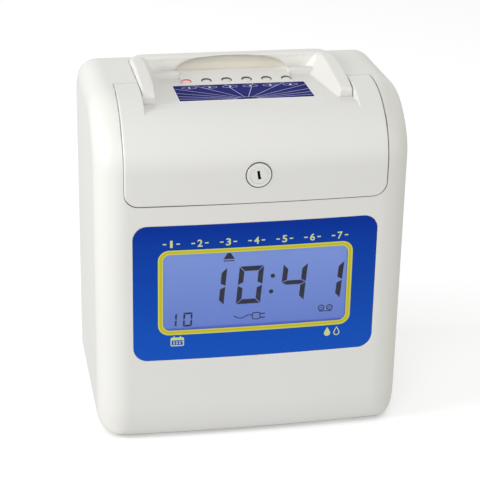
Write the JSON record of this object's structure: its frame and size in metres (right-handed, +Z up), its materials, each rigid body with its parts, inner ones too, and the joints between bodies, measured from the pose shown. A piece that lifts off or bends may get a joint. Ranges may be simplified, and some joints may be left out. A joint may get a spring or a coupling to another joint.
{
  "type": "time clock",
  "caption": "Desk time clock for time cards: moulded housing, hinged locking front cover, blue display panel, top card slot between raised arms, row of column keys.",
  "frame": {"origin": "centre of the box's underside, on the surface that the rubber feet rest on", "axes": "+Z up; -Y is the front with the display, lock and door; +Y is the rear cover with the power inlet; +X to the right seen from the front"},
  "size_m": [0.186, 0.131, 0.2139],
  "materials": {
    "housing_white": "moulded, warm white, satin gloss",
    "rear_white": "moulded, fine texture",
    "rubber": "matt black",
    "zinc": "zinc plated",
    "lock_chrome": "polished plating",
    "label_indigo": "printed film",
    "key_white": "moulded",
    "panel_blue": "back-printed acrylic",
    "display_glass": "lit liquid crystal glass",
    "light_guide": "clear acrylic",
    "board_green": "solder mask",
    "black_plastic": "moulded, matt",
    "grey_plastic": "moulded, matt",
    "sheet_steel": "zinc coated sheet",
    "ground_steel": "ground and polished",
    "motor_case": "dark coating",
    "gear_nylon": "natural nylon",
    "brass": "machined",
    "ink_ribbon": "inked nylon",
    "core_steel": "varnished laminations",
    "cell_green": "shrink sleeve",
    "can_blue": "sleeved can"
  },
  "bodies": {
    "case": {"front_housing": "housing_white", "rear_cover": "rear_white", "base_plate": "rear_white", "rubber_feet": "rubber", "base_screws": "zinc", "cover_screws": "zinc", "hinge_pins": "ground_steel", "card_throat": "housing_white", "throat_screws": "zinc", "deck_label": "label_indigo", "key_board": "board_green", "key_switches": "black_plastic", "display_lens": "panel_blue", "lcd_glass": "display_glass", "backlight": "light_guide", "lcd_holder": "grey_plastic", "main_board": "board_green", "board_screws": "zinc", "processor": "black_plastic", "buzzer": "black_plastic", "chassis": "sheet_steel", "card_guide_front": "black_plastic", "card_guide_rear": "black_plastic", "card_stop": "sheet_steel", "card_sensor": "black_plastic", "guide_rod": "ground_steel", "carriage_motor": "motor_case", "ribbon_cartridge": "black_plastic", "ribbon": "ink_ribbon", "feed_motor": "motor_case", "transformer": "core_steel", "power_board": "board_green", "power_capacitor": "can_blue", "power_inlet": "black_plastic", "inlet_pins": "brass", "backup_battery": "cell_green"},
    "door": {"door": "housing_white", "lock_barrel": "lock_chrome", "lock_nut": "zinc"},
    "lock_core": {"lock_plug": "lock_chrome", "lock_cam": "zinc"},
    "key_1": {"column_key_1": "key_white"},
    "key_2": {"column_key_2": "key_white"},
    "key_3": {"column_key_3": "key_white"},
    "key_4": {"column_key_4": "key_white"},
    "key_5": {"column_key_5": "key_white"},
    "key_6": {"column_key_6": "key_white"},
    "print_carriage": {"carriage": "black_plastic", "print_head": "motor_case"},
    "screw": {"lead_screw": "ground_steel"},
    "feed_roller": {"feed_shaft": "ground_steel", "feed_rollers": "rubber", "feed_gear": "gear_nylon"},
    "pinch_roller": {"pinch_shaft": "ground_steel", "pinch_rollers": "rubber"},
    "feed_pinion": {"motor_pinion": "brass"},
    "ribbon_winder": {"ribbon_knob": "grey_plastic"}
  },
  "joints": [
    {"name": "door_hinge", "type": "hinge", "parent": "case", "child": "door", "pos_m": [0, -0.0068, 0.2037], "axis": [-1, 0, 0], "range_deg": [0, 70]},
    {"name": "lock_turn", "type": "hinge", "parent": "door", "child": "lock_core", "pos_m": [0, -0.0595, 0.169], "axis": [0, 1, 0], "range_deg": [0, 90]},
    {"name": "column_key_1_press", "type": "slide", "parent": "case", "child": "key_1", "axis": [0, 0, -1], "range_m": [0, 0.001], "stiffness_N_per_m": 250, "springref_m": -0.001},
    {"name": "column_key_2_press", "type": "slide", "parent": "case", "child": "key_2", "axis": [0, 0, -1], "range_m": [0, 0.001], "stiffness_N_per_m": 250, "springref_m": -0.001},
    {"name": "column_key_3_press", "type": "slide", "parent": "case", "child": "key_3", "axis": [0, 0, -1], "range_m": [0, 0.001], "stiffness_N_per_m": 250, "springref_m": -0.001},
    {"name": "column_key_4_press", "type": "slide", "parent": "case", "child": "key_4", "axis": [0, 0, -1], "range_m": [0, 0.001], "stiffness_N_per_m": 250, "springref_m": -0.001},
    {"name": "column_key_5_press", "type": "slide", "parent": "case", "child": "key_5", "axis": [0, 0, -1], "range_m": [0, 0.001], "stiffness_N_per_m": 250, "springref_m": -0.001},
    {"name": "column_key_6_press", "type": "slide", "parent": "case", "child": "key_6", "axis": [0, 0, -1], "range_m": [0, 0.001], "stiffness_N_per_m": 250, "springref_m": -0.001},
    {"name": "carriage_slide", "type": "slide", "parent": "case", "child": "print_carriage", "axis": [1, 0, 0], "range_m": [-0.032, 0.032]},
    {"name": "screw_spin", "type": "hinge", "parent": "case", "child": "screw", "pos_m": [0, -0.0045, 0.136], "axis": [1, 0, 0], "range_deg": [-965, 965]},
    {"name": "feed_spin", "type": "hinge", "parent": "case", "child": "feed_roller", "pos_m": [0, 0.01735, 0.114], "axis": [1, 0, 0], "continuous": true},
    {"name": "pinch_spin", "type": "hinge", "parent": "case", "child": "pinch_roller", "pos_m": [0, 0.03065, 0.114], "axis": [1, 0, 0], "continuous": true},
    {"name": "pinion_spin", "type": "hinge", "parent": "case", "child": "feed_pinion", "pos_m": [0, -0.00675, 0.114], "axis": [1, 0, 0], "continuous": true},
    {"name": "ribbon_knob_turn", "type": "hinge", "parent": "case", "child": "ribbon_winder", "pos_m": [0.032, -0.0025, 0.18], "axis": [0, 0, 1], "continuous": true}
  ],
  "couplings": [
    {"joint": "screw_spin", "follows": "carriage_slide", "rad_per_m": 523.6},
    {"joint": "pinch_spin", "follows": "feed_spin", "ratio": -1.6},
    {"joint": "pinion_spin", "follows": "feed_spin", "ratio": -3}
  ]
}
